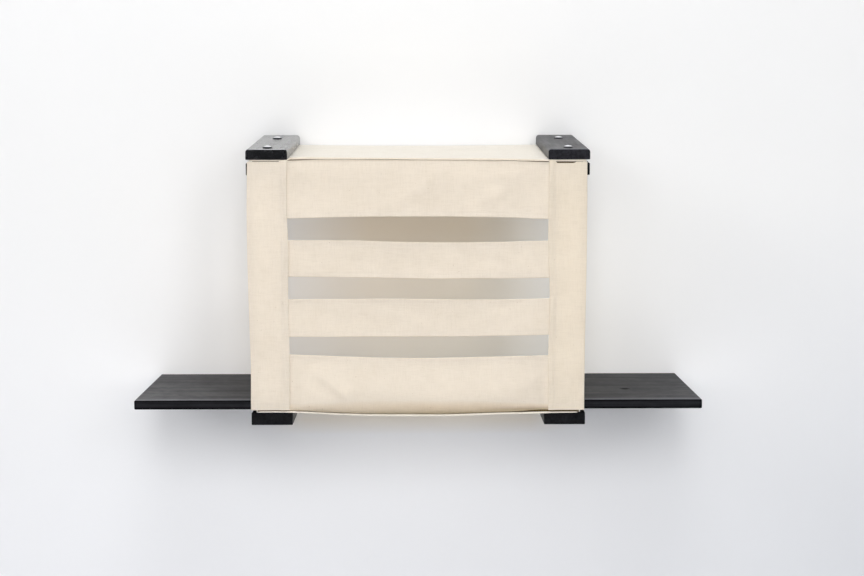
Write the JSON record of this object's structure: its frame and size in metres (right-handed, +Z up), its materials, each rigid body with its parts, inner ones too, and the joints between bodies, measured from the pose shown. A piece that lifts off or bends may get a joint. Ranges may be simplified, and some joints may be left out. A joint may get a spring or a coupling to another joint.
{
  "type": "wall-mounted cat bed",
  "caption": "Wall-mounted cat bed: a black shelf board runs through a slotted canvas tunnel, clamped by caps and arms above and blocks below, on steel wall brackets.",
  "frame": {"origin": "on the wall plane, centred left to right, at the height of the shelf's walking surface", "axes": "+X to the right along the shelf, +Y into the wall, +Z up; the bed stands out from the wall towards -Y"},
  "size_m": [0.8636, 0.285, 0.4819],
  "materials": {
    "black_wood": "black stain with open grain, satin",
    "canvas": "natural cotton canvas, plain weave, matte",
    "black_steel": "black powder coat",
    "zinc": "bright zinc plate"
  },
  "bodies": {
    "root": {"shelf_board": "black_wood", "cap_left": "black_wood", "cap_right": "black_wood", "arm_left": "black_wood", "arm_right": "black_wood", "block_left": "black_wood", "block_right": "black_wood", "canvas_roof": "canvas", "canvas_floor": "canvas", "canvas_strap_left": "canvas", "canvas_strap_right": "canvas", "canvas_band_top": "canvas", "canvas_band_upper": "canvas", "canvas_band_lower": "canvas", "canvas_band_bottom": "canvas", "canvas_lip_roof": "canvas", "canvas_lip_floor": "canvas", "bracket_upper_left": "black_steel", "bracket_upper_right": "black_steel", "bracket_lower_left": "black_steel", "bracket_lower_right": "black_steel", "cap_bolt_left_front": "zinc", "cap_bolt_left_rear": "zinc", "cap_bolt_right_front": "zinc", "cap_bolt_right_rear": "zinc", "cap_washer_left_front": "zinc", "cap_washer_left_rear": "zinc", "cap_washer_right_front": "zinc", "cap_washer_right_rear": "zinc", "cap_nut_left_front": "zinc", "cap_nut_left_rear": "zinc", "cap_nut_right_front": "zinc", "cap_nut_right_rear": "zinc", "block_screw_left_front": "zinc", "block_screw_left_rear": "zinc", "block_screw_right_front": "zinc", "block_screw_right_rear": "zinc"}
  },
  "joints": []
}
